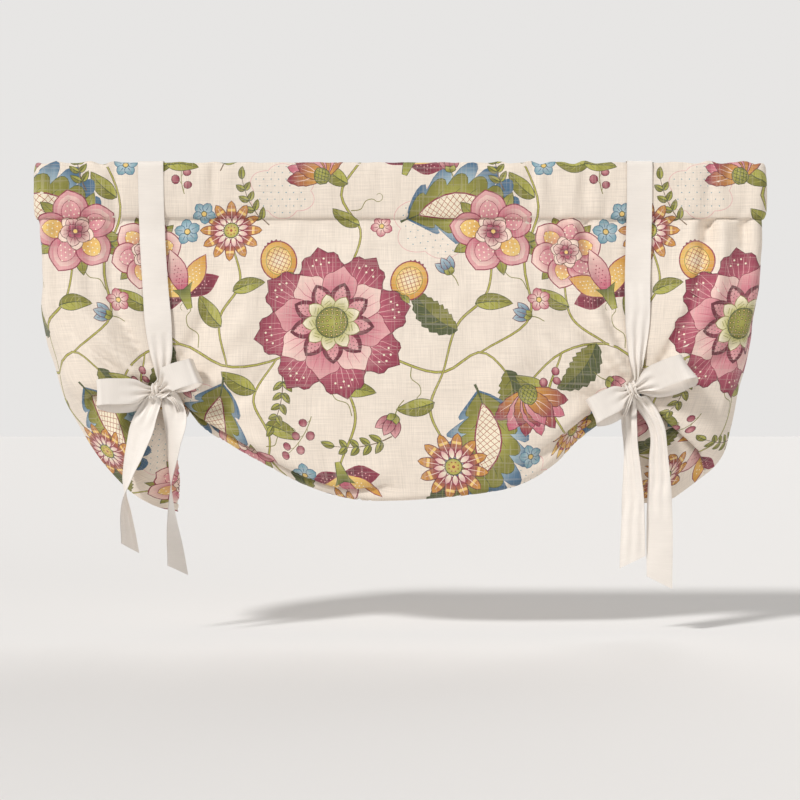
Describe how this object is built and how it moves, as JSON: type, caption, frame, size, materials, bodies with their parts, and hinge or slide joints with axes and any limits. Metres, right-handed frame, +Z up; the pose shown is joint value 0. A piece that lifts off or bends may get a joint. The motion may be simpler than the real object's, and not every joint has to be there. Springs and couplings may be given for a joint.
{
  "type": "tie-up valance",
  "caption": "Gathered cloth window valance with a rod pocket and end returns, drawn up by two long ribbons tied in bows, with folded side tails and a soft middle swag.",
  "frame": {"origin": "middle of the rod pocket, on the rod's centre line", "axes": "+X along the rod to the viewer's right, +Y back to the wall, +Z up"},
  "size_m": [1.1067, 0.1321, 0.6304],
  "materials": {
    "printed_cloth": "natural slub linen with a floral print",
    "ribbon": "ivory satin ribbon"
  },
  "bodies": {
    "root": {"valance_panel": "printed_cloth", "left_ribbon_tie": "ribbon", "right_ribbon_tie": "ribbon"}
  },
  "joints": []
}
